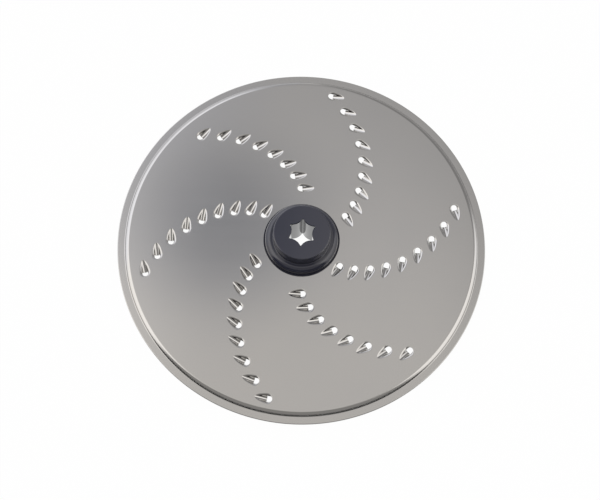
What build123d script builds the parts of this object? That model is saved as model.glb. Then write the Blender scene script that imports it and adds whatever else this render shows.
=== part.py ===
from build123d import *
from math import atan2, cos, radians, sin
import os

# A grating disc for a food processor: a stamped steel plate with a moulded drive hub.
# Lengths are in millimetres and angles in degrees. The hub stands on Z = 0, and its axis is Z.

# Stamped plate: a flat field and a rim that lies one step lower
DISC_DIAMETER = 175.0
SHEET = 0.6
RIM_WIDTH = 4.1
RIM_EDGE_ROUND = 0.25
STEP_RUN = 1.2
STEP_DROP = 1.2
STEP_TOP_BEND = 1.8
STEP_FOOT_BEND = 0.4

# Grating teeth: arms that curve outwards, with even steps in radius and angle along each arm
ARMS = 6
ROWS = 3
TOOTH_HUB_GAP = 4.35
TOOTH_RIM_GAP = 4.2
TOOTH_PITCH = 6.65
TOOTH_TURN = 6.0
ARM_START = -33.4
ARM_LEAD = 6.15

# One tooth: a hole, and behind it a round scoop that slopes down from its tail to the mouth
HOLE_WIDTH = 2.8
HOLE_FRONT = 1.45
MOUTH_SETBACK = 0.9
MOUTH_DEPTH = 1.8
SCOOP_LENGTH = 6.6
SCOOP_RADIUS = 1.75
HOOD_WALL = 0.5

# Moulded hub: a round-shouldered flange and a boss on each side of the plate
HUB_ABOVE = 11.0
HUB_BELOW = 9.5
FLANGE_DIAMETER = 35.5
FLANGE_HEIGHT = 4.2
FLANGE_ROUND = 3.0
LOWER_FLANGE_HEIGHT = 3.2
LOWER_FLANGE_ROUND = 2.0
FLANGE_FLAT = 0.5
BOSS_DIAMETER = 26.8
BOSS_ROUND = 0.8
BOSS_FOOT_ROUND = 0.4
NECK_DIAMETER = 24.0
KEY_DIAMETER = 4.0
KEYS = 4

# Drive socket: a star whose walls bow inwards between its points
SOCKET_POINTS = 6
SOCKET_POINT_RADIUS = 6.9
SOCKET_VALLEY_RADIUS = 4.85
SOCKET_POINT_ROUND = 0.3
SOCKET_TURN = 26.6
SOCKET_LEAD_IN = 0.3

PLATE_TOP = HUB_BELOW
PLATE_UNDER = PLATE_TOP - SHEET
HUB_TOP = PLATE_TOP + HUB_ABOVE


def polar(radius, angle):
    """Point at a radius and an angle."""
    return (radius * cos(radians(angle)), radius * sin(radians(angle)))


def tooth_places():
    """Centres of the tooth holes, with each tooth's mouth along its own +X.

    Each arm is a spiral with a constant step between the hub's flange and the rim's step. Its row
    sets how far out the arm starts, so the teeth of the arms of different rows pass between one
    another. A tooth points along the circle round the disc's axis.
    """
    first = FLANGE_DIAMETER / 2 + TOOTH_HUB_GAP
    last = DISC_DIAMETER / 2 - RIM_WIDTH - STEP_RUN - TOOTH_RIM_GAP
    places = []
    for arm in range(ARMS):
        row = arm % ROWS
        radius = first + row * TOOTH_PITCH / ROWS
        angle = ARM_START + arm * 360 / ARMS + (ARM_LEAD if row else 0)
        while radius <= last:
            x, y = polar(radius, angle)
            places.append(Location((x, y, PLATE_TOP), (0, 0, angle + 90)))
            radius += TOOTH_PITCH
            angle += TOOTH_TURN
    return places


def tooth_bar(radius):
    """Round bar along a scoop's axis, from behind the tail to the plane of the mouth.

    A bar of SCOOP_RADIUS touches the plate's top at the tail and reaches MOUTH_DEPTH below it at
    the mouth.
    """
    slope = atan2(MOUTH_DEPTH, SCOOP_LENGTH - MOUTH_SETBACK)
    tail = (-SCOOP_LENGTH, 0, SCOOP_RADIUS / cos(slope))
    with BuildPart() as bar:
        with BuildSketch(Plane(origin=tail, z_dir=(cos(slope), 0, -sin(slope)))):
            Circle(radius)
        extrude(amount=2 * SCOOP_LENGTH, both=True)
        split(bisect_by=Plane.YZ.offset(-MOUTH_SETBACK), keep=Keep.BOTTOM)
    return bar.part


def hub_side(face, side, flange_height, flange_round, end):
    """Half section of the hub on one side of the plate, from the plate's face to the hub's end.

    The flange's shoulder leaves at least FLANGE_FLAT of its wall and of the shelf beside the boss.
    """
    flange = FLANGE_DIAMETER / 2
    boss = BOSS_DIAMETER / 2
    shelf = face + side * flange_height
    shoulder = min(flange_round, min(flange_height, flange - boss) - FLANGE_FLAT)
    with BuildSketch(Plane.XZ) as section:
        with BuildLine():
            outline = FilletPolyline(
                (0, face),
                (flange, face),
                (flange, shelf),
                (boss, shelf),
                (boss, end),
                (0, end),
                radius=(0, shoulder, BOSS_FOOT_ROUND, BOSS_ROUND),
            )
            Line(outline @ 1, outline @ 0)
        make_face()
    return section.sketch


# Keyed opening of the plate, which the neck of the hub fills
with BuildSketch(Plane.XY.offset(PLATE_UNDER)) as neck_outline:
    Circle(NECK_DIAMETER / 2)
    with PolarLocations(NECK_DIAMETER / 2, KEYS):
        Circle(KEY_DIAMETER / 2)

# Star of the drive socket
with BuildSketch() as socket_outline:
    with BuildLine():
        step = 360 / SOCKET_POINTS
        for point in range(SOCKET_POINTS):
            angle = SOCKET_TURN + point * step
            ThreePointArc(
                polar(SOCKET_POINT_RADIUS, angle),
                polar(SOCKET_VALLEY_RADIUS, angle + step / 2),
                polar(SOCKET_POINT_RADIUS, angle + step),
            )
    make_face()
    fillet(socket_outline.vertices(), SOCKET_POINT_ROUND)

# Outside of one tooth, the part of a bar that stands out below the plate
with BuildPart() as tooth_hood:
    add(tooth_bar(SCOOP_RADIUS + HOOD_WALL))
    split(bisect_by=Plane.XY.offset(-SHEET / 2), keep=Keep.BOTTOM)

# Inside of one tooth, the scoop and the hole, half a slot in front of the mouth
with BuildPart() as tooth_scoop:
    add(tooth_bar(SCOOP_RADIUS))
    with BuildSketch():
        with Locations((-MOUTH_SETBACK, 0)):
            SlotOverall(2 * (MOUTH_SETBACK + HOLE_FRONT), HOLE_WIDTH)
        split(bisect_by=Plane.YZ.offset(-MOUTH_SETBACK))
    extrude(amount=-SHEET)

# Stamped plate
with BuildPart() as grating_plate:
    rim_top = PLATE_TOP - STEP_DROP
    step_foot = DISC_DIAMETER / 2 - RIM_WIDTH
    with BuildSketch(Plane.XZ) as rim_section:
        with BuildLine():
            FilletPolyline(
                (0, PLATE_TOP),
                (step_foot - STEP_RUN, PLATE_TOP),
                (step_foot, rim_top),
                (DISC_DIAMETER / 2, rim_top),
                radius=(STEP_TOP_BEND, STEP_FOOT_BEND),
            )
            offset(amount=SHEET, side=Side.RIGHT)
        make_face()
        fillet(rim_section.vertices().group_by(Axis.X)[-1], RIM_EDGE_ROUND)
    revolve(axis=Axis.Z)
    extrude(neck_outline.sketch, amount=SHEET, mode=Mode.SUBTRACT)
    with Locations(*tooth_places()):
        add(tooth_hood.part)
        add(tooth_scoop.part, mode=Mode.SUBTRACT)

# Moulded hub
with BuildPart() as drive_hub:
    add(hub_side(PLATE_TOP, 1, FLANGE_HEIGHT, FLANGE_ROUND, HUB_TOP))
    add(hub_side(PLATE_UNDER, -1, LOWER_FLANGE_HEIGHT, LOWER_FLANGE_ROUND, 0))
    revolve(axis=Axis.Z)
    extrude(neck_outline.sketch, amount=SHEET)
    extrude(socket_outline.sketch, amount=HUB_TOP, mode=Mode.SUBTRACT)
    ends = drive_hub.faces().filter_by(Axis.Z).sort_by(Axis.Z)
    chamfer([ends[0].inner_wires()[0].edges(), ends[-1].inner_wires()[0].edges()], SOCKET_LEAD_IN)

os.makedirs("parts", exist_ok=True)
for name, piece in (("grating_plate", grating_plate), ("drive_hub", drive_hub)):
    piece.part.label = name
    export_step(piece.part, f"parts/{name}.step")
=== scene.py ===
from math import atan2, cos, pi, radians, sin, sqrt

import bmesh
import bpy
import numpy as np
from bpy.props import FloatProperty, FloatVectorProperty, IntProperty, PointerProperty
from mathutils import Matrix, Vector
from mathutils.geometry import delaunay_2d_cdt


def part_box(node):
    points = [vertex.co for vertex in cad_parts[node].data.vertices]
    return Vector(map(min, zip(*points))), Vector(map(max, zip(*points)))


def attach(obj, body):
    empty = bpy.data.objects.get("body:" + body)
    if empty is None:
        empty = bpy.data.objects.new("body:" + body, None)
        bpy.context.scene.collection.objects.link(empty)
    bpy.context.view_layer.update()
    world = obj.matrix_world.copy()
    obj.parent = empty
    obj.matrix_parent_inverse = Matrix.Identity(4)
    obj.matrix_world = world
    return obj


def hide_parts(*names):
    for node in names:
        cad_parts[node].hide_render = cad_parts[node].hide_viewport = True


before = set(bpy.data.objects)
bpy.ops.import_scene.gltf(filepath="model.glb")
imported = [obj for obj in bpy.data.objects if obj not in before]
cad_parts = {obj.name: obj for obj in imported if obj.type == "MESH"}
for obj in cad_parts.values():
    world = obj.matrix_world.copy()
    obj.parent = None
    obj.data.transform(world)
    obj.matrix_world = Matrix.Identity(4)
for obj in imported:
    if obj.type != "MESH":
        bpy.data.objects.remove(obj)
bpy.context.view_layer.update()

bl_info = {
    "name": "Grating disc",
    "version": (1, 0, 0),
    "blender": (4, 5, 0),
    "location": "View3D > Sidebar > Disc",
    "description": "A grating disc for a food processor: a stamped plate with a moulded hub",
    "category": "Object",
}

MM = 0.001
# Straight stretch beside each bend of a section, which keeps the shading of its flat sides flat
LEAD = 0.05 * MM
# Points that lie closer than this are one point
MERGE = 0.0005 * MM
# Steps round the disc, round the plate's opening and over the rim's outer edge
ROUND_STEPS = 360
OPENING_STEPS = 144
NOSE_STEPS = 8
PLATE_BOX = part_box("grating_plate")
HUB_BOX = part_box("drive_hub")


def size(name, description, millimetres):
    """A length that a user may change, given in millimetres and kept in metres."""
    return FloatProperty(
        name=name, description=description, default=millimetres * MM, unit="LENGTH", precision=5
    )


def turn(name, description, degrees):
    """An angle that a user may change, given in degrees."""
    return FloatProperty(
        name=name, description=description, default=radians(degrees), subtype="ANGLE"
    )


def count(name, description, value):
    """A whole number that a user may change."""
    return IntProperty(name=name, description=description, default=value, min=1)


def amount(name, description, value):
    """A plain number that a user may change."""
    return FloatProperty(name=name, description=description, default=value, min=0.0)


def pair(name, description, first, second):
    """Two plain numbers that a user may change, such as the ends of a fade."""
    return FloatVectorProperty(name=name, description=description, default=(first, second), size=2)


def colour(name, description, value):
    """A linear colour that a user may change."""
    return FloatVectorProperty(
        name=name, description=description, default=value, size=3, subtype="COLOR", min=0.0
    )


class PlateSettings(bpy.types.PropertyGroup):
    """Sizes and finish of the stamped plate."""

    top: size("Top", "Height of the flat field", PLATE_BOX[1].z / MM)
    diameter: size("Diameter", "Outer diameter", (PLATE_BOX[1].x - PLATE_BOX[0].x) / MM)
    sheet: size("Sheet", "Thickness of the sheet", 0.6)
    rim_width: size("Rim width", "Width of the lowered rim", 3.65)
    step_drop: size("Step drop", "How far the rim lies below the field", 1.2)
    slope_run: size("Slope run", "Width of the step's upper slope", 1.2)
    slope_drop: size("Slope drop", "Height of the step's upper slope", 0.5)
    slope_bend: size("Slope bend", "Radius of the bend from the field to the slope", 2.5)
    wall_run: size("Wall run", "Width of the step's steep wall", 0.35)
    wall_bend: size("Wall bend", "Radius of the bend from the slope to the wall", 0.85)
    wall_foot: size("Wall foot", "Radius of the bend from the wall to the rim", 0.5)
    sharp: turn("Sharp edges", "Turn past which an edge stays sharp", 40.0)
    steel: colour("Steel", "Colour of the polished steel", (0.545, 0.535, 0.515))
    steel_cloud: colour("Steel cloud", "Colour of its duller clouds", (0.52, 0.515, 0.505))
    roughness: amount("Roughness", "Roughness of the polished steel", 0.13)
    clouds: amount("Clouds", "Number of duller clouds in a metre", 35.0)
    cloud_rough: amount("Cloud roughness", "How far the clouds change the roughness", 0.05)
    grain: amount("Grain", "Number of grain lines in a metre", 900.0)
    grain_stretch: amount("Grain stretch", "Length of a grain line over its width", 25.0)
    grain_share: amount("Grain share", "Share of the grain in the change of colour", 0.2)
    grain_rough: amount("Grain roughness", "How far the grain changes the roughness", 0.03)
    grain_bump: amount("Grain bump", "Strength of the grain's bump", 0.02)
    grain_depth: size("Grain depth", "Depth of the grain", 0.01)


class ToothSettings(bpy.types.PropertyGroup):
    """Sizes and pattern of the grating teeth."""

    arms: count("Arms", "Number of curved arms of teeth", 6)
    rows: count("Rows", "Number of staggered starts of the arms", 3)
    first_radius: size("First radius", "Radius of the innermost hole", 22.1)
    last_radius: size("Last radius", "Radius that no hole's centre passes", 78.0)
    pitch: size("Pitch", "Step in radius along an arm", 6.65)
    turn: turn("Turn", "Step in angle along an arm", 6.0)
    start: turn("Start", "Angle of the first arm's first hole", -33.4)
    lead: turn("Lead", "How far the later rows start ahead", 6.15)
    front: size("Hole front", "How far the hole reaches ahead of its centre", 1.45)
    mouth: size("Mouth", "How far the cutting edge lies behind the hole's centre", 0.9)
    depth: size("Depth", "Depth of the scoop at its mouth", 1.8)
    tail: size("Tail", "How far the scoop's tail lies behind the hole's centre", 6.6)
    scoop: size("Scoop", "Radius of the scoop's round bottom", 1.4)
    lip: size("Lip", "Radius of the drawn lips along the scoop", 1.2)
    edge: size("Edge", "Radius of the edge round the front of the hole", 0.06)


class HubSettings(bpy.types.PropertyGroup):
    """Sizes and finish of the moulded hub."""

    top: size("Top", "Height of the hub", HUB_BOX[1].z / MM)
    flange: size("Flange", "Diameter of both flanges", (HUB_BOX[1].x - HUB_BOX[0].x) / MM)
    flange_height: size("Flange height", "Height of the upper flange", 4.2)
    flange_round: size("Flange round", "Radius of the upper flange's shoulder", 2.6)
    lower_height: size("Lower flange height", "Height of the lower flange", 3.2)
    lower_round: size("Lower flange round", "Radius of the lower flange's shoulder", 1.7)
    boss: size("Boss", "Diameter of both bosses", 26.8)
    boss_round: size("Boss round", "Radius of the bosses' end edges", 0.5)
    foot_round: size("Foot round", "Radius where a boss rises from its flange", 0.4)
    lip: size("Lip", "Width of the lip round each flange, half of it outside the flange", 0.8)
    lip_height: size("Lip height", "Height of the lips at their outer edge", 0.5)
    lip_round: size("Lip round", "Radius of the lips' edges", 0.08)
    neck: size("Neck", "Diameter of the neck in the plate's opening", 24.0)
    key: size("Key", "Diameter of the neck's round keys", 4.0)
    keys: count("Keys", "Number of keys", 4)
    points: count("Points", "Number of points of the socket's star", 6)
    point_radius: size("Point radius", "Radius of the star's sharp points", 6.9)
    valley_radius: size("Valley radius", "Radius between the star's points", 4.85)
    point_round: size("Point round", "Radius in the star's points", 0.3)
    star_turn: turn("Star turn", "Angle of one of the star's points", 26.6)
    lead_in: size("Lead-in", "Width of the socket's chamfers", 0.3)
    sharp: turn("Sharp edges", "Turn past which an edge stays sharp", 35.0)
    plastic: colour("Plastic", "Colour of the moulded plastic", (0.028, 0.03, 0.049))
    plastic_cloud: colour("Plastic cloud", "Its colour in faint flow marks", (0.033, 0.035, 0.055))
    roughness: amount("Roughness", "Roughness of the moulded plastic", 0.08)
    flow: amount("Flow marks", "Number of flow marks in a metre", 160.0)
    flow_rough: amount("Flow roughness", "How far the flow marks change the roughness", 0.05)
    skin: amount("Skin", "Number of uneven spots from the mould in a metre", 2200.0)
    skin_rough: amount("Skin roughness", "How far the uneven spots change the roughness", 0.06)
    skin_bump: amount("Skin bump", "Strength of the uneven spots' bump", 0.08)
    skin_depth: size("Skin depth", "Depth of the uneven spots", 0.02)
    refraction: amount("Refraction", "Index of refraction of the plastic", 1.55)
    coat: amount("Coat", "Weight of the glossy outer skin", 0.6)
    coat_roughness: amount("Coat roughness", "Roughness of the glossy outer skin", 0.04)


class StudioSettings(bpy.types.PropertyGroup):
    """Camera and floor."""

    lens: amount("Lens", "Focal length in millimetres on a 36 mm sensor", 63.11)
    distance: size("Distance", "From the camera to the point that it looks at", 498.4)
    elevation: turn("Elevation", "Height of the camera above the horizon", 71.36)
    roll: turn("Roll", "Turn of the camera about its line of sight", 1.85)
    look_x: size("Look at X", "Point that the camera looks at, to the right", -0.6)
    look_y: size("Look at Y", "Point that the camera looks at, away from it", -5.04)
    floor_width: size("Floor", "Width of the floor", 6000.0)
    floor: colour("Floor colour", "Colour of the floor", (0.9, 0.9, 0.9))
    floor_glow: amount("Floor glow", "Share of plain white in the floor's picture", 0.985)


class LightSettings(bpy.types.PropertyGroup):
    """Soft light by direction.

    A place overhead is where a direction meets a flat ceiling one unit up, to the right and to the
    back. A height is the Z of a direction. An aim is the cosine of its turn from a light's middle.
    """

    lowest: amount("Lowest", "Height below which places overhead move out no faster", 0.2)
    ceiling: amount("Ceiling", "Brightness overhead", 0.77)
    back_fade: pair("Back fade", "Places overhead where the ceiling dims to the back", 0.25, 0.6)
    back_loss: amount("Back loss", "Share that it loses there", 0.27)
    left_fade: pair("Left fade", "Places overhead where it brightens to the left", 0.09, 0.18)
    left_gain: amount("Left gain", "Share that it gains there", 0.22)
    right_fade: pair("Right fade", "Places overhead where it dims to the far right", 0.0, 0.2)
    right_loss: amount("Right loss", "Share that it loses there", 0.12)
    far: pair("Far", "Places overhead where its far part begins, to the back", 0.22, 0.45)
    patch: pair("Patch", "Place overhead of a dim patch, to the right and to the back", -0.08, 0.365)
    patch_squeeze: amount("Patch squeeze", "Width of the patch over its length to the back", 1.1)
    patch_fade: pair("Patch fade", "Distances from its middle where the patch ends", 0.03, 0.14)
    patch_loss: amount("Patch loss", "Share of the light that the patch loses", 0.5)
    back: amount("Back", "Brightness of the wall behind", 0.52)
    wall_fade: pair("Wall fade", "Places overhead where the ceiling goes over to the wall", 0.5, 0.9)
    sweep: amount("Sweep", "Brightness that is added low behind", 0.4)
    sweep_fade: pair("Sweep fade", "Heights where the sweep ends", 0.1, 0.4)
    corner_fade: pair("Corner fade", "Places overhead where the right back corner begins", 0.13, 0.3)
    corner_loss: amount("Corner loss", "Share of the light that the corner loses", 0.35)
    front: amount("Front", "Brightness of the front", 0.35)
    front_edge: pair("Front edge", "Distances ahead of the middle where the front begins", -0.05, 0.03)
    dark: amount("Dark", "Brightness low in the front", 0.01)
    dark_fade: pair("Dark fade", "Heights where the low front ends", 0.42, 0.72)
    left: amount("Left", "Brightness of the soft light on the left", 1.6)
    left_turn: turn("Left turn", "Direction of the left light, from the back to the left", 61.0)
    left_edge: pair("Left edge", "Aims where the left light begins", 0.57, 0.74)
    right: amount("Right", "Brightness of the soft light on the right", 1.5)
    right_turn: turn("Right turn", "Direction of the right light, from the back to the right", 90.0)
    right_edge: pair("Right edge", "Aims where the right light begins", 0.8, 0.92)
    side_fade: pair("Side fade", "Distances to a side where its light begins", 0.15, 0.4)
    low_fade: pair("Low fade", "Distances out where the left light also reaches the back", 0.5, 0.65)
    horizon: amount("Horizon", "Share of the side lights that is left near the horizon", 0.48)
    horizon_fade: pair("Horizon fade", "Heights where the side lights gain their strength", 0.0, 0.8)
    warm: colour("Warm light", "Colour of most of the light", (1.015, 0.985, 0.96))
    cool: colour("Cool light", "Colour of the dim patch overhead", (0.965, 0.985, 1.08))
    cool_far: amount("Cool far", "Share of the cool light in the far part of the ceiling", 0.25)
    cool_left: amount("Cool left", "Share that is added there to the left", 0.4)
    cool_fade: pair("Cool fade", "Places overhead where that begins, to the left", 0.02, 0.12)


class DiscSettings(bpy.types.PropertyGroup):
    """All settings of the disc and its studio."""

    plate: PointerProperty(type=PlateSettings)
    tooth: PointerProperty(type=ToothSettings)
    hub: PointerProperty(type=HubSettings)
    studio: PointerProperty(type=StudioSettings)
    light: PointerProperty(type=LightSettings)


def grid(points, wrap_u=False, wrap_v=False):
    """Points and quads of a surface points[u, v], or of copies of it as points[copy, u, v].

    Neighbours along u and v share quads, and a wrapped direction also joins its end to its start.
    """
    across, along = points.shape[-3:-1]
    index = np.arange(across * along).reshape(across, along)
    if wrap_u:
        index = np.concatenate([index, index[:1]])
    if wrap_v:
        index = np.concatenate([index, index[:, :1]], axis=1)
    corners = [index[:-1, :-1], index[1:, :-1], index[1:, 1:], index[:-1, 1:]]
    quads = np.stack(corners, axis=-1).reshape(-1, 4)
    copies = points.size // (3 * across * along)
    shifts = np.arange(copies) * across * along
    return points.reshape(-1, 3), (quads + shifts[:, None, None]).reshape(-1, 4)


def smooth_step(value, low, high):
    """0 below low, 1 above high and 3t^2 - 2t^3 between them."""
    share = np.clip((value - low) / (high - low), 0, 1)
    return share * share * (3 - 2 * share)


def rounded_line(corners, rounds, steps=7):
    """Points of a line through corners, whose inner corners are arcs of the given radii.

    Each arc touches both of its sides, and its points are the slerp of its two end radii. A point
    just before and just after each arc keeps the shading of the straight sides flat.
    """
    corners = np.array(corners, float)
    share = np.linspace(0, 1, steps)[:, None]
    runs = [corners[:1]]
    for before, corner, after, radius in zip(corners, corners[1:], corners[2:], rounds):
        back = (before - corner) / np.linalg.norm(before - corner)
        ahead = (after - corner) / np.linalg.norm(after - corner)
        bend = pi - np.arccos(back @ ahead)
        reach = radius * np.tan(bend / 2)
        centre = corner + (back + ahead) * reach / (1 + back @ ahead)
        first = corner + back * reach - centre
        last = corner + ahead * reach - centre
        arc = np.sin((1 - share) * bend) * first + np.sin(share * bend) * last
        enter, leave = corner + np.stack([back, ahead]) * (reach + LEAD)
        runs += [enter[None], centre + arc / np.sin(bend), leave[None]]
    return np.concatenate([*runs, corners[-1:]])


def revolve(profile, angles):
    """A profile of (radius, height) points turned about Z through the angles."""
    radius, height = profile.T
    rows = np.broadcast_to(height, (len(angles), len(height)))
    return np.stack(
        [np.outer(np.cos(angles), radius), np.outer(np.sin(angles), radius), rows], axis=-1
    )


def keyed_radius(angles, hub):
    """Radius of the plate's opening: a circle with round keys whose centres lie on it."""
    neck = hub.neck / 2
    step = 2 * pi / hub.keys
    off = (angles + step / 2) % step - step / 2
    under = (hub.key / 2) ** 2 - (neck * np.sin(off)) ** 2
    return np.where(under > 0, neck * np.cos(off) + np.sqrt(np.maximum(under, 0)), neck)


def tooth_places(tooth):
    """Centres and headings of the teeth: each arm steps evenly in radius and in angle."""
    radii, angles = [], []
    for arm in range(tooth.arms):
        row = arm % tooth.rows
        first = tooth.first_radius + row * tooth.pitch / tooth.rows
        steps = np.arange(int((tooth.last_radius - first) / tooth.pitch) + 1)
        lead = tooth.lead if row else 0
        radii.append(first + steps * tooth.pitch)
        angles.append(tooth.start + arm * 2 * pi / tooth.arms + lead + steps * tooth.turn)
    radii, angles = np.concatenate(radii), np.concatenate(angles)
    centres = radii[:, None] * np.stack([np.cos(angles), np.sin(angles)], axis=-1)
    return centres, angles + pi / 2


def placed(points, centres, headings, height):
    """Copies of local points, turned to the headings and moved to the centres."""
    c, s = np.cos(headings), np.sin(headings)
    local = points.reshape(-1, 3)
    x = np.outer(c, local[:, 0]) - np.outer(s, local[:, 1]) + centres[:, :1]
    y = np.outer(s, local[:, 0]) + np.outer(c, local[:, 1]) + centres[:, 1:]
    z = np.broadcast_to(local[:, 2] + height, x.shape)
    return np.stack([x, y, z], axis=-1).reshape(len(centres), *points.shape)


class ToothForm:
    """One tooth about its hole's centre, with the mouth along +X and the sheet's top at 0.

    Behind the mouth each section across X is made of arcs that touch: a lip of radius l on each
    side, which bends down from the flat sheet, and the scoop of radius r between them. Where the
    scoop's centre lies at the height h, they meet at the lean whose cosine is (h + l) / (r + l).
    The scoop's bottom is a straight slope from the tail down to the mouth. In front of the mouth
    the hole has straight sides and a half round end.
    """

    # Steps down a lip, across and along the scoop, and along the side and round the end of the hole
    LIP_STEPS = 7
    SCOOP_STEPS = 14
    SIDE_STEPS = 14
    STRAIGHT_STEPS = 6
    FRONT_STEPS = 18
    # Width of the frame round the hole's end, and the size of the flat ring round the tooth
    FRONT_FRAME = 0.6 * MM
    RING = 1.04

    def __init__(self, tooth, sheet):
        self.tooth, self.sheet = tooth, sheet
        self.upper, self.lower = self.section_rows()
        self.front = self.front_rows()

    def section_rows(self):
        """Both faces of the sheet behind the mouth, from the +Y side to the -Y side.

        The lower face lies one thickness below the upper along its normals.
        """
        tooth, both = self.tooth, self.tooth.scoop + self.tooth.lip
        way = np.sin(np.linspace(0, pi / 2, self.SIDE_STEPS))
        x = -tooth.mouth - (tooth.tail - tooth.mouth) * way
        centre = tooth.scoop - tooth.depth * (1 - way)
        meet = np.arccos(np.minimum((centre + tooth.lip) / both, 1))

        lip = np.outer(meet, np.linspace(0, 1, self.LIP_STEPS + 1))
        lip_y = both * np.sin(meet)[:, None] - tooth.lip * np.sin(lip)
        lip_z = tooth.lip * (np.cos(lip) - 1)
        scoop = np.outer(meet, np.linspace(1, -1, self.SCOOP_STEPS + 1)[1:-1])
        scoop_z = centre[:, None] - tooth.scoop * np.cos(scoop)
        y = np.concatenate([lip_y, tooth.scoop * np.sin(scoop), -lip_y[:, ::-1]], axis=1)
        z = np.concatenate([lip_z, scoop_z, lip_z[:, ::-1]], axis=1)
        lean = np.concatenate([lip, scoop, -lip[:, ::-1]], axis=1)
        x = np.broadcast_to(x[:, None], y.shape)
        upper = np.stack([x, y, z], axis=-1)
        return upper, upper + self.sheet * np.stack([0 * x, np.sin(lean), -np.cos(lean)], axis=-1)

    def front_rows(self):
        """The sheet round the front of the hole, from its upper face through the hole to the lower.

        Along the hole's edge the section goes from that at the mouth's corner to a plain cut edge.
        Both the edge and the frame round it are straight at first and then half round.
        """
        tooth, steps = self.tooth, self.LIP_STEPS + 1
        corner = np.concatenate([self.upper[0, :steps, 1:], self.lower[0, steps - 1::-1, 1:]])
        wide, hole = corner[0, 0], corner[steps - 1, 0]
        corner[:, 0] = (corner[:, 0] - hole) / (wide - hole)
        bend = np.linspace(0, pi / 2, steps - 1)
        top = tooth.edge * np.stack([(1 - np.sin(bend)) / self.FRONT_FRAME, np.cos(bend) - 1], axis=-1)
        out = np.linspace(0, 1, steps)
        cut = np.concatenate([[(1, 0)], top, np.stack([out, 0 * out - self.sheet], axis=-1)])

        centre = tooth.front - hole
        side = np.linspace(-tooth.mouth, centre, self.STRAIGHT_STEPS + 1)[:-1]
        arc = np.linspace(-pi / 2, pi / 2, self.FRONT_STEPS + 1)
        start = np.concatenate([side, centre + 0 * arc, side[::-1]])[:, None, None]
        angles = np.concatenate([0 * side - pi / 2, arc, 0 * side + pi / 2])[:, None, None]
        edge = start + hole * np.cos(angles)
        section = corner + (cut - corner) * smooth_step(edge, -tooth.mouth, tooth.front)
        out, z = section[..., :1], section[..., 1:]
        x = start + (hole + self.FRONT_FRAME * out) * np.cos(angles)
        return np.concatenate([x, (hole + (wide - hole) * out) * np.sin(angles), z], axis=-1)

    def frame_loops(self):
        """Plans of two closed lines round the tooth: where its bends begin, and a little outside.

        The narrow flat ring between them keeps the flat field's normals upright.
        """
        sides = [self.front[:, 0], self.upper[1:, 0], self.upper[-2:0:-1, -1]]
        inner = np.concatenate(sides)[:, :2]
        middle = (inner.min(axis=0) + inner.max(axis=0)) / 2
        return inner, middle + (inner - middle) * self.RING

    def patches(self):
        """The drawn scoop, its hood below, the cutting edge, the hole's front and the flat rings."""
        cut = slice(self.LIP_STEPS, -self.LIP_STEPS)
        mouth = np.stack([self.upper[0, cut], self.lower[0, cut]])
        rings = []
        for z in (0, -self.sheet):
            ring = np.pad(np.stack(self.frame_loops()), ((0, 0), (0, 0), (0, 1)), constant_values=z)
            rings.append(np.concatenate([ring, ring[:, :1]], axis=1))
        return [self.upper, self.lower, mouth, self.front, *rings]


def field_fill(loops, opening):
    """Triangles of the flat field between the teeth's loops, the opening and the outer circle.

    The opening and the outer circle are the last two loops. The plan is triangulated with all loops
    as fixed edges. A triangle with its three corners on one tooth's loop lies in that tooth, and
    one whose centre lies within the opening's radius lies in the opening, and both are left out.
    """
    plan = np.concatenate(loops)
    owner = np.concatenate([np.full(len(loop), i) for i, loop in enumerate(loops)])
    starts = np.cumsum([0] + [len(loop) for loop in loops])
    edges = []
    for first, end in zip(starts, starts[1:]):
        line = np.arange(first, end)
        edges.append(np.stack([line, np.roll(line, -1)], axis=-1))
    edges = np.concatenate(edges)
    inside, nearest = 1, 1e-9
    filled = delaunay_2d_cdt([Vector(p) for p in plan], edges.tolist(), [], inside, nearest)
    spots, _, faces, sources, _, _ = filled
    corners = np.array([tuple(spot) for spot in spots])
    triangles = np.array([tuple(face) for face in faces])
    owner = owner[[source[0] for source in sources]]
    of_corner = owner[triangles]
    in_tooth = (of_corner == of_corner[:, :1]).all(axis=1) & (of_corner[:, 0] < len(loops) - 2)
    middle = corners[triangles].mean(axis=1)
    reach = np.hypot(*middle.T)
    in_opening = reach < opening(np.arctan2(middle[:, 1], middle[:, 0]))
    return corners, triangles[~(in_tooth | in_opening)]


def circle(steps):
    """Angles of evenly spaced points once round."""
    return np.arange(steps) * 2 * pi / steps


def rim_profile(plate, inner):
    """Section of the step and the rim, from the field's edge round the outer edge and back below.

    The top is a line with three bends, the outer edge half a circle as thick as the sheet, and
    the underside lies one thickness below the top along its normals, which are upright at its ends.
    """
    edge = plate.sheet / 2
    foot = plate.diameter / 2 - plate.rim_width
    low = plate.top - plate.step_drop
    corners = [
        (inner, plate.top),
        (foot - plate.wall_run - plate.slope_run, plate.top),
        (foot - plate.wall_run, plate.top - plate.slope_drop),
        (foot, low),
        (plate.diameter / 2 - edge, low),
    ]
    top = rounded_line(corners, (plate.slope_bend, plate.wall_bend, plate.wall_foot))
    # A point just before the outer edge keeps the shading of the rim flat
    top = np.insert(top, -1, top[-1] - (LEAD, 0), axis=0)
    slope = np.gradient(top, axis=0)
    slope /= np.linalg.norm(slope, axis=1)[:, None]
    slope[[0, -1]] = 1, 0
    below = top + plate.sheet * np.stack([slope[:, 1], -slope[:, 0]], axis=-1)
    bend = np.linspace(pi / 2, -pi / 2, NOSE_STEPS + 1)[1:-1]
    nose = (plate.diameter / 2 - edge, low - edge) + edge * np.stack(
        [np.cos(bend), np.sin(bend)], axis=-1
    )
    return np.concatenate([top, nose, below[::-1]])


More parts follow.
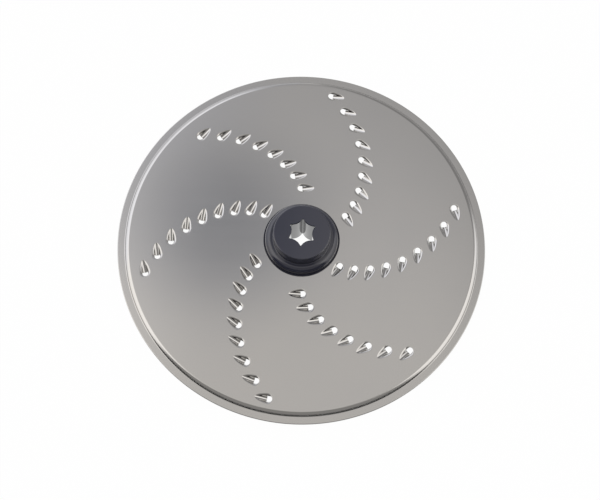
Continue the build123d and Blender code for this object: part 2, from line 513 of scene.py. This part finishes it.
def plate_patches(plate, tooth, hub):
    """All surfaces of the plate: the rim, the teeth, the flat field and the opening's wall."""
    form = ToothForm(tooth, plate.sheet)
    centres, headings = tooth_places(tooth)
    round_steps = circle(ROUND_STEPS)
    inner = plate.diameter / 2 - plate.rim_width - plate.slope_run - plate.slope_bend / 2
    rim = revolve(rim_profile(plate, inner), round_steps)
    patches = [grid(rim, wrap_u=True)]
    patches += [grid(placed(p, centres, headings, plate.top)) for p in form.patches()]

    loop = form.frame_loops()[1]
    flat = np.concatenate([loop, np.zeros((len(loop), 1))], axis=1)
    loops = list(placed(flat, centres, headings, 0.0)[..., :2])
    hole_steps = circle(OPENING_STEPS)
    hole = keyed_radius(hole_steps, hub)[:, None]
    loops.append(hole * np.stack([np.cos(hole_steps), np.sin(hole_steps)], axis=-1))
    loops.append(inner * np.stack([np.cos(round_steps), np.sin(round_steps)], axis=-1))
    corners, triangles = field_fill(loops, lambda angles: keyed_radius(angles, hub))
    heights = (plate.top, plate.top - plate.sheet)
    for height in heights:
        level = np.full((len(corners), 1), height)
        patches.append((np.concatenate([corners, level], axis=1), triangles))
    ends = np.repeat(loops[-2][:, None], 2, axis=1)
    levels = np.broadcast_to(heights, ends.shape[:2])[..., None]
    patches.append(grid(np.concatenate([ends, levels], axis=-1), wrap_u=True))
    return patches


def star_radius(angles, hub, grown):
    """Radius of the socket's star, with its walls moved outwards by grown.

    Between two points the wall is an arc that bows inwards, about a centre outside the star on
    the valley's line. In a point a small circle touches both arcs.
    """
    half = pi / hub.points
    point, valley = hub.point_radius, hub.valley_radius
    centre = (point**2 - valley**2) / (2 * (point * cos(half) - valley))
    bow = centre - valley
    nook = centre * cos(half) - sqrt((bow + hub.point_round) ** 2 - (centre * sin(half)) ** 2)
    touch = np.array([centre * cos(half) - nook, centre * sin(half)])
    touch = (nook, 0) + touch / np.linalg.norm(touch) * (hub.point_round + grown)
    reach = atan2(touch[1], touch[0])
    off = (angles - hub.star_turn + half) % (2 * half) - half
    lean = half - np.abs(off)
    wall = centre * np.cos(lean) - np.sqrt((bow - grown) ** 2 - (centre * np.sin(lean)) ** 2)
    under = (hub.point_round + grown) ** 2 - (nook * np.sin(off)) ** 2
    round_end = nook * np.cos(off) + np.sqrt(np.maximum(under, 0))
    return np.where(np.abs(off) < reach, round_end, wall)


def hub_side(hub, face, side, height, shoulder, end):
    """Half section of the hub on one side of the plate, from its flange's face to its end face.

    A lip against the plate stands half outside the flange and slopes down to the flange's wall,
    which leaves a narrow groove. The section ends on the end face, just inside its edge's round.
    """
    flange, boss = hub.flange / 2, hub.boss / 2
    wall, lip = flange - hub.lip / 2, flange + hub.lip / 2
    shelf = face + side * height
    corners = [
        (wall, face),
        (lip, face),
        (lip, face + side * hub.lip_height),
        (wall, face + side * hub.lip_round),
        (wall, shelf),
        (boss, shelf),
        (boss, end),
        (boss - 2 * hub.boss_round, end),
    ]
    rounds = (*[hub.lip_round] * 3, shoulder, hub.foot_round, hub.boss_round)
    return rounded_line(corners, rounds, steps=9)


def hub_patches(hub, plate):
    """The hub as one closed grid: round it along u, and along its section and socket along v.

    A row of the grid is a circle, the keyed neck or the star. The angles crowd at the star's
    points, as a - k sin(n a) / n.
    """
    crowd = 0.85
    even = circle(ROUND_STEPS)
    angles = even - crowd * np.sin(hub.points * even) / hub.points + hub.star_turn
    above = hub_side(hub, plate.top, 1, hub.flange_height, hub.flange_round, hub.top)
    under = plate.top - plate.sheet
    below = hub_side(hub, under, -1, hub.lower_height, hub.lower_round, 0.0)
    neck = keyed_radius(angles, hub)
    star = star_radius(angles, hub, 0.0)
    mouth = star_radius(angles, hub, hub.lead_in)
    lead = hub.lead_in
    rows = [(radius + 0 * angles, height) for radius, height in above[::-1]]
    rows += [(neck, plate.top), (neck, under)]
    rows += [(radius + 0 * angles, height) for radius, height in below]
    rows += [(mouth, 0.0), (star, lead), (star, hub.top - lead), (mouth, hub.top)]
    radius = np.stack([row[0] for row in rows], axis=1)
    height = np.broadcast_to([row[1] for row in rows], radius.shape)
    across = np.stack([np.cos(angles), np.sin(angles)], axis=-1)[:, None]
    points = np.concatenate([radius[..., None] * across, height[..., None]], axis=-1)
    return [grid(points, wrap_u=True, wrap_v=True)]


def make_piece(name, patches, material, node, sharp):
    """One mesh object of all patches, with shared points merged and its faces turned outwards.

    Faces are smooth, with an edge kept sharp where it turns by more than the given angle. The
    piece rides on the part's body and stands for a node of the solid model.
    """
    shifts = np.cumsum([0] + [len(points) for points, faces in patches])
    points = np.concatenate([points for points, faces in patches])
    faces = [row for (_, rows), shift in zip(patches, shifts) for row in (rows + shift).tolist()]
    mesh = bpy.data.meshes.new(name)
    mesh.from_pydata(points.tolist(), [], faces)
    shape = bmesh.new()
    shape.from_mesh(mesh)
    bmesh.ops.remove_doubles(shape, verts=shape.verts, dist=MERGE)
    bmesh.ops.recalc_face_normals(shape, faces=shape.faces)
    open_edges = sum(not edge.is_manifold for edge in shape.edges)
    if open_edges:
        raise RuntimeError(f"{name} has {open_edges} edges that don't join two faces")
    shape.to_mesh(mesh)
    shape.free()
    mesh.polygons.foreach_set("use_smooth", np.ones(len(mesh.polygons), bool))
    mesh.set_sharp_from_angle(angle=sharp)
    mesh.materials.append(material)
    piece = bpy.data.objects.new(name, mesh)
    bpy.context.scene.collection.objects.link(piece)
    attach(piece, "root")
    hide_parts(node)
    return piece


class Wire:
    """A node's output, or a tree to begin with. Sums on outputs and numbers add Math nodes."""

    def __init__(self, tree, socket=None):
        self.tree, self.socket = tree, socket

    def node(self, kind, settings=None, sockets=None, output=0):
        """Adds a node, sets it up, fills its sockets with values or links, and gives an output."""
        made = self.tree.nodes.new(kind)
        for name, value in (settings or {}).items():
            setattr(made, name, value)
        for key, value in (sockets or {}).items():
            if isinstance(value, Wire):
                self.tree.links.new(value.socket, made.inputs[key])
            else:
                made.inputs[key].default_value = value
        return Wire(self.tree, made.outputs[output] if made.outputs else None)

    def beside(self, output):
        """Another output of the same node."""
        return Wire(self.tree, self.socket.node.outputs[output])

    def maths(self, operation, first, second):
        """A Math node on two values."""
        return self.node("ShaderNodeMath", {"operation": operation}, {0: first, 1: second})

    def toward(self, other, share):
        """A share of the way to another value."""
        return self + (other - self) * share

    def most(self, other):
        """The larger of two values."""
        return self.maths("MAXIMUM", self, other)

    def ramp(self, low, high):
        """0 below low, 1 above high and a smooth rise between them."""
        return self.node(
            "ShaderNodeMapRange",
            {"interpolation_type": "SMOOTHSTEP"},
            {"Value": self, "From Min": low, "From Max": high},
        )

    def __add__(self, other):
        return self.maths("ADD", self, other)

    def __sub__(self, other):
        return self.maths("SUBTRACT", self, other)

    def __rsub__(self, other):
        return self.maths("SUBTRACT", other, self)

    def __mul__(self, other):
        return self.maths("MULTIPLY", self, other)

    def __truediv__(self, other):
        return self.maths("DIVIDE", self, other)

    def __pow__(self, other):
        return self.maths("POWER", self, other)

    def __neg__(self):
        return 0 - self

    __radd__ = __add__
    __rmul__ = __mul__


def new_material(name):
    """An empty node material and the wire that starts its tree."""
    material = bpy.data.materials.new(name)
    material.use_nodes = True
    material.node_tree.nodes.clear()
    return material, Wire(material.node_tree)


def noise(start, scale, detail, stretch=(1, 1, 1)):
    """Noise from 0 to 1 on the piece's own coordinates, in cells of 1 / scale metres."""
    place = start.node("ShaderNodeTexCoord", output="Object")
    place = start.node("ShaderNodeMapping", {}, {"Vector": place, "Scale": stretch})
    return start.node("ShaderNodeTexNoise", {}, {"Vector": place, "Scale": scale, "Detail": detail})


def blend(start, share, first, second):
    """A colour between two colours, through the colour sockets of a Mix node."""
    return start.node(
        "ShaderNodeMix",
        {"data_type": "RGBA"},
        {0: share, 6: (*first, 1), 7: (*second, 1)},
        output=2,
    )


def polished_steel(plate):
    """Stainless sheet as rolled: clouds about 3 cm wide, and a fine grain along X."""
    material, start = new_material("polished_steel")
    clouds = noise(start, plate.clouds, detail=2)
    grain = noise(start, plate.grain, detail=3, stretch=(1 / plate.grain_stretch, 1, 1))
    change = (grain - 0.5) * plate.grain_rough + (clouds - 0.5) * plate.cloud_rough
    share = clouds.toward(grain, plate.grain_share)
    bump = start.node(
        "ShaderNodeBump",
        {},
        {"Strength": plate.grain_bump, "Distance": plate.grain_depth, "Height": grain},
    )
    shader = start.node(
        "ShaderNodeBsdfPrincipled",
        {},
        {
            "Base Color": blend(start, share, plate.steel, plate.steel_cloud),
            "Metallic": 1.0,
            "Roughness": plate.roughness + change,
            "Normal": bump,
        },
    )
    start.node("ShaderNodeOutputMaterial", {}, {"Surface": shader})
    return material


def moulded_plastic(hub):
    """Dark gloss plastic with faint flow marks and the slight unevenness of a mould."""
    material, start = new_material("moulded_plastic")
    flow = noise(start, hub.flow, detail=3)
    skin = noise(start, hub.skin, detail=2)
    change = (skin - 0.5) * hub.skin_rough + (flow - 0.5) * hub.flow_rough
    bump = start.node(
        "ShaderNodeBump",
        {},
        {"Strength": hub.skin_bump, "Distance": hub.skin_depth, "Height": skin},
    )
    shader = start.node(
        "ShaderNodeBsdfPrincipled",
        {},
        {
            "Base Color": blend(start, flow, hub.plastic, hub.plastic_cloud),
            "Roughness": hub.roughness + change,
            "IOR": hub.refraction,
            "Coat Weight": hub.coat,
            "Coat Roughness": hub.coat_roughness,
            "Normal": bump,
        },
    )
    start.node("ShaderNodeOutputMaterial", {}, {"Surface": shader})
    return material


def seen_directly(start):
    """1 where the camera, a reflection or a clear piece looks at a surface, and 0 for its light."""
    camera = start.node("ShaderNodeLightPath", output="Is Camera Ray")
    return camera.most(camera.beside("Is Glossy Ray")).most(camera.beside("Is Transmission Ray"))


def white_floor(studio):
    """A plain white floor that keeps a faint shadow."""
    material, start = new_material("white_floor")
    paint = start.node("ShaderNodeBsdfDiffuse", {}, {"Color": (*studio.floor, 1)})
    glow = start.node("ShaderNodeEmission", {}, {"Color": (1, 1, 1, 1), "Strength": 1.0})
    share = seen_directly(start) * studio.floor_glow
    shader = start.node("ShaderNodeMixShader", {}, {0: share, 1: paint, 2: glow})
    start.node("ShaderNodeOutputMaterial", {}, {"Surface": shader})
    return material


def studio_light(light):
    """Soft light by direction: a ceiling with a dim patch, two side lights and a dark front."""
    world = bpy.data.worlds.new("studio")
    world.use_nodes = True
    world.node_tree.nodes.clear()
    start = Wire(world.node_tree)
    place = start.node("ShaderNodeTexCoord", output="Generated")
    x = start.node("ShaderNodeSeparateXYZ", {}, {0: place}, output="X")
    y, z = x.beside("Y"), x.beside("Z")

    # Places overhead, kept finite towards the horizon
    height = z.most(light.lowest)
    over_x, over_y = x / height, y / height
    far = over_y.ramp(*light.far)
    off_x = over_x - light.patch[0]
    off_y = (over_y - light.patch[1]) * light.patch_squeeze
    patch = 1 - ((off_x**2 + off_y**2) ** 0.5).ramp(*light.patch_fade)

    # Ceiling, wall behind and front
    left_gain = (-over_x).ramp(*light.left_fade) * light.left_gain
    right_loss = over_x.ramp(*light.right_fade) * far * light.right_loss
    back_loss = over_y.ramp(*light.back_fade) * light.back_loss
    ceiling = light.ceiling * (1 - back_loss) * (1 - patch * light.patch_loss)
    ceiling = ceiling * (1 + left_gain - right_loss)
    wall = light.back + (1 - z.ramp(*light.sweep_fade)) * light.sweep
    corner = 1 - over_x.ramp(*light.corner_fade) * light.corner_loss
    behind = ceiling.toward(wall, over_y.ramp(*light.wall_fade)) * corner
    front = light.dark + z.ramp(*light.dark_fade) * (light.front - light.dark)
    around = behind.toward(front, (-y).ramp(*light.front_edge))

    # Side lights, by their aims. The least distance keeps the division safe straight overhead
    least = 0.01
    out = (x**2 + y**2) ** 0.5
    level = out.most(least)
    lit = light.horizon + z.ramp(*light.horizon_fade) * (1 - light.horizon)
    left = (y * cos(light.left_turn) - x * sin(light.left_turn)) / level
    right = (y * cos(light.right_turn) + x * sin(light.right_turn)) / level
    on_left = (-x).ramp(*light.side_fade).most(out.ramp(*light.low_fade))
    on_right = x.ramp(*light.side_fade)
    around = around.toward(lit * light.left, left.ramp(*light.left_edge) * on_left)
    strength = around.toward(lit * light.right, right.ramp(*light.right_edge) * on_right)

    cool = (-over_x).ramp(*light.cool_fade) * light.cool_left + light.cool_far
    tint = blend(start, patch.most(far * cool), light.warm, light.cool)
    glow = start.node("ShaderNodeBackground", {}, {"Color": tint, "Strength": strength})
    white = start.node("ShaderNodeBackground", {}, {"Color": (1, 1, 1, 1), "Strength": 1.0})
    camera = start.node("ShaderNodeLightPath", output="Is Camera Ray")
    shader = start.node("ShaderNodeMixShader", {}, {0: camera, 1: glow, 2: white})
    start.node("ShaderNodeOutputWorld", {}, {"Surface": shader})
    return world


class GRATING_OT_plate(bpy.types.Operator):
    """Makes the stamped plate with its teeth"""

    bl_idname = "grating.plate"
    bl_label = "Grating plate"

    def execute(self, context):
        disc = context.scene.grating_disc
        patches = plate_patches(disc.plate, disc.tooth, disc.hub)
        steel = polished_steel(disc.plate)
        make_piece("stamped_plate", patches, steel, "grating_plate", disc.plate.sharp)
        return {"FINISHED"}


class GRATING_OT_hub(bpy.types.Operator):
    """Makes the moulded hub with its drive socket"""

    bl_idname = "grating.hub"
    bl_label = "Drive hub"

    def execute(self, context):
        disc = context.scene.grating_disc
        patches = hub_patches(disc.hub, disc.plate)
        plastic = moulded_plastic(disc.hub)
        make_piece("moulded_hub", patches, plastic, "drive_hub", disc.hub.sharp)
        return {"FINISHED"}


class GRATING_OT_studio(bpy.types.Operator):
    """Makes the floor, the light and the camera"""

    bl_idname = "grating.studio"
    bl_label = "Studio"

    def execute(self, context):
        disc = context.scene.grating_disc
        studio = disc.studio
        half = studio.floor_width / 2
        mesh = bpy.data.meshes.new("floor")
        corners = [(-half, -half, 0), (half, -half, 0), (half, half, 0), (-half, half, 0)]
        mesh.from_pydata(corners, [], [(0, 1, 2, 3)])
        mesh.materials.append(white_floor(studio))
        floor = bpy.data.objects.new("floor", mesh)
        context.scene.collection.objects.link(floor)
        context.scene.world = studio_light(disc.light)
        context.scene.view_settings.view_transform = "Standard"

        lens = bpy.data.cameras.new("camera")
        lens.sensor_width = 36.0
        lens.lens = studio.lens
        camera = bpy.data.objects.new("camera", lens)
        back = Vector((0, -cos(studio.elevation), sin(studio.elevation)))
        target = Vector((studio.look_x, studio.look_y, disc.plate.top))
        tilt = Matrix.Rotation(pi / 2 - studio.elevation, 4, "X")
        roll = Matrix.Rotation(studio.roll, 4, "Z")
        camera.matrix_world = Matrix.Translation(target + back * studio.distance) @ tilt @ roll
        context.scene.collection.objects.link(camera)
        context.scene.camera = camera
        return {"FINISHED"}


class GRATING_PT_disc(bpy.types.Panel):
    """Lists the steps and the sizes that a user may change"""

    bl_idname = "GRATING_PT_disc"
    bl_label = "Grating disc"
    bl_space_type = "VIEW_3D"
    bl_region_type = "UI"
    bl_category = "Disc"

    def draw(self, context):
        disc = context.scene.grating_disc
        for step in OPERATORS:
            self.layout.operator(step.bl_idname)
        for group in (disc.plate, disc.tooth, disc.hub, disc.studio, disc.light):
            box = self.layout.box()
            for name in group.__annotations__:
                box.prop(group, name)


OPERATORS = (GRATING_OT_plate, GRATING_OT_hub, GRATING_OT_studio)
SETTINGS = (PlateSettings, ToothSettings, HubSettings, StudioSettings, LightSettings, DiscSettings)
CLASSES = (*SETTINGS, *OPERATORS, GRATING_PT_disc)


def register():
    for item in CLASSES:
        bpy.utils.register_class(item)
    bpy.types.Scene.grating_disc = PointerProperty(type=DiscSettings)


def unregister():
    del bpy.types.Scene.grating_disc
    for item in reversed(CLASSES):
        bpy.utils.unregister_class(item)


def main():
    register()
    bpy.ops.grating.plate()
    bpy.ops.grating.hub()
    bpy.ops.grating.studio()


if __name__ == "__main__":
    main()
